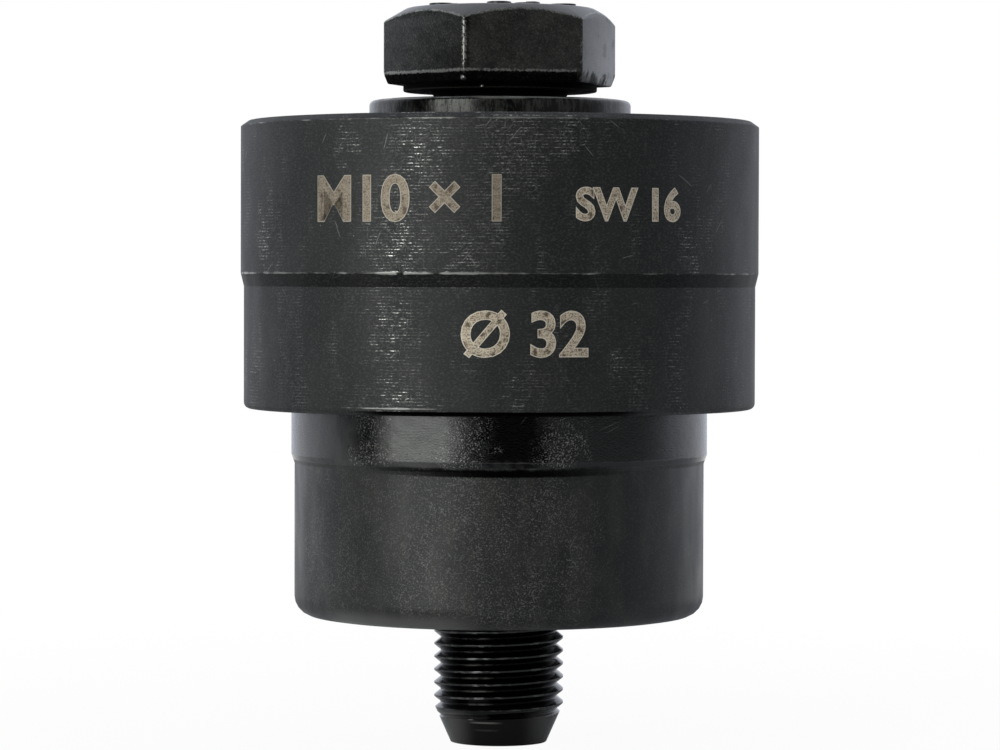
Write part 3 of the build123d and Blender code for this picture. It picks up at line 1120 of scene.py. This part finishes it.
# The studio: a round pale floor under the tool, a white surround behind it, one large soft lamp to the
# left of the camera and a broad faint one to its right. A camera below the floor sees through it.
floor_radius = 0.32
floor_mesh = bpy.data.meshes.new("floor")
shape = bmesh.new()
just_under = Matrix.Translation((0, 0, -0.02 * MM))
bmesh.ops.create_circle(shape, cap_ends=True, radius=floor_radius, segments=128, matrix=just_under)
shape.to_mesh(floor_mesh)
shape.free()
floor = new_object("floor", floor_mesh)
floor_paint, shader, place = new_finish("pale_floor")
tree = shader.id_data
shader.inputs["Base Color"].default_value = (0.8, 0.8, 0.8, 1)
shader.inputs["Roughness"].default_value = 0.9
seen = add_node(tree, "ShaderNodeLightPath").outputs
away = vectors("LENGTH", place)["Value"]
reflected = reckon("MAXIMUM", seen["Is Glossy Ray"], seen["Is Transmission Ray"])
direct = reckon("MAXIMUM", seen["Is Camera Ray"], times(reflected, between(along(place, "Y"), 0.02, 0.2)))
white_share = times(direct, scaled(between(away, 0.0, 0.12), 0.05, 0.95))
glow = add_node(tree, "ShaderNodeEmission", {"Color": (1, 1, 1, 1), "Strength": 1.0})
mixed = add_node(tree, "ShaderNodeMixShader", {0: white_share, 1: shader.outputs[0], 2: glow.outputs[0]})
underside = add_node(tree, "ShaderNodeNewGeometry").outputs["Backfacing"]
from_below = times(underside, seen["Is Camera Ray"])
clear = add_node(tree, "ShaderNodeBsdfTransparent")
mixed = add_node(tree, "ShaderNodeMixShader", {0: from_below, 1: mixed.outputs[0], 2: clear.outputs[0]})
link(tree.nodes["Material Output"], "Surface", mixed.outputs[0])
floor.data.materials.append(floor_paint)

world = bpy.data.worlds.new("studio")
bpy.context.scene.world = world
world.use_nodes = True
background = world.node_tree.nodes["Background"]
direction = add_node(world.node_tree, "ShaderNodeTexCoord").outputs["Generated"]
surround = ramp(along(direction, "Y"), -0.06, 0.35, 0.03, 1.0)
camera_ray = add_node(world.node_tree, "ShaderNodeLightPath").outputs["Is Camera Ray"]
link(background, "Strength", reckon("MAXIMUM", surround, camera_ray))
link(background, "Color", shade(camera_ray, (0.86, 0.9, 1.0), (1, 1, 1)))


def soft_lamp(name, azimuth, elevation, width, height, radiance, distance=0.7):
    """A soft box that faces the tool's middle from that side of the camera, in degrees and metres."""
    lamp = set_up(
        bpy.data.lights.new(name, "AREA"), shape="RECTANGLE", size=width, size_y=height,
        energy=radiance * pi * width * height, color=(0.97, 1.0, 0.985),
    )
    around = radians(azimuth)
    lift = radians(elevation)
    aim = Vector((sin(around) * cos(lift), -cos(around) * cos(lift), sin(lift)))
    stand = new_object(name, lamp)
    stand.location = aim * distance + Vector((0, 0, 30 * MM))
    stand.rotation_euler = aim.to_track_quat("Z", "Y").to_euler()
    stand.visible_camera = False


soft_lamp("key_lamp", azimuth=-43, elevation=11, width=0.5, height=0.85, radiance=3.1)
soft_lamp("fill_lamp", azimuth=58, elevation=15, width=1.0, height=0.6, radiance=0.17)

camera_data = bpy.data.cameras.new("camera")
set_up(camera_data, sensor_width=36, lens=140.2, clip_start=0.01)
camera = new_object("camera", camera_data)
camera.location = (0.05 * MM, -300 * MM, 35.94 * MM)
dip = radians(1.47)
roll = radians(0.15)
aimed = Matrix.Rotation(pi / 2 - dip, 3, "X") @ Matrix.Rotation(roll, 3, "Z")
camera.rotation_euler = aimed.to_euler()
bpy.context.scene.camera = camera
bpy.context.scene.view_settings.view_transform = "Standard"
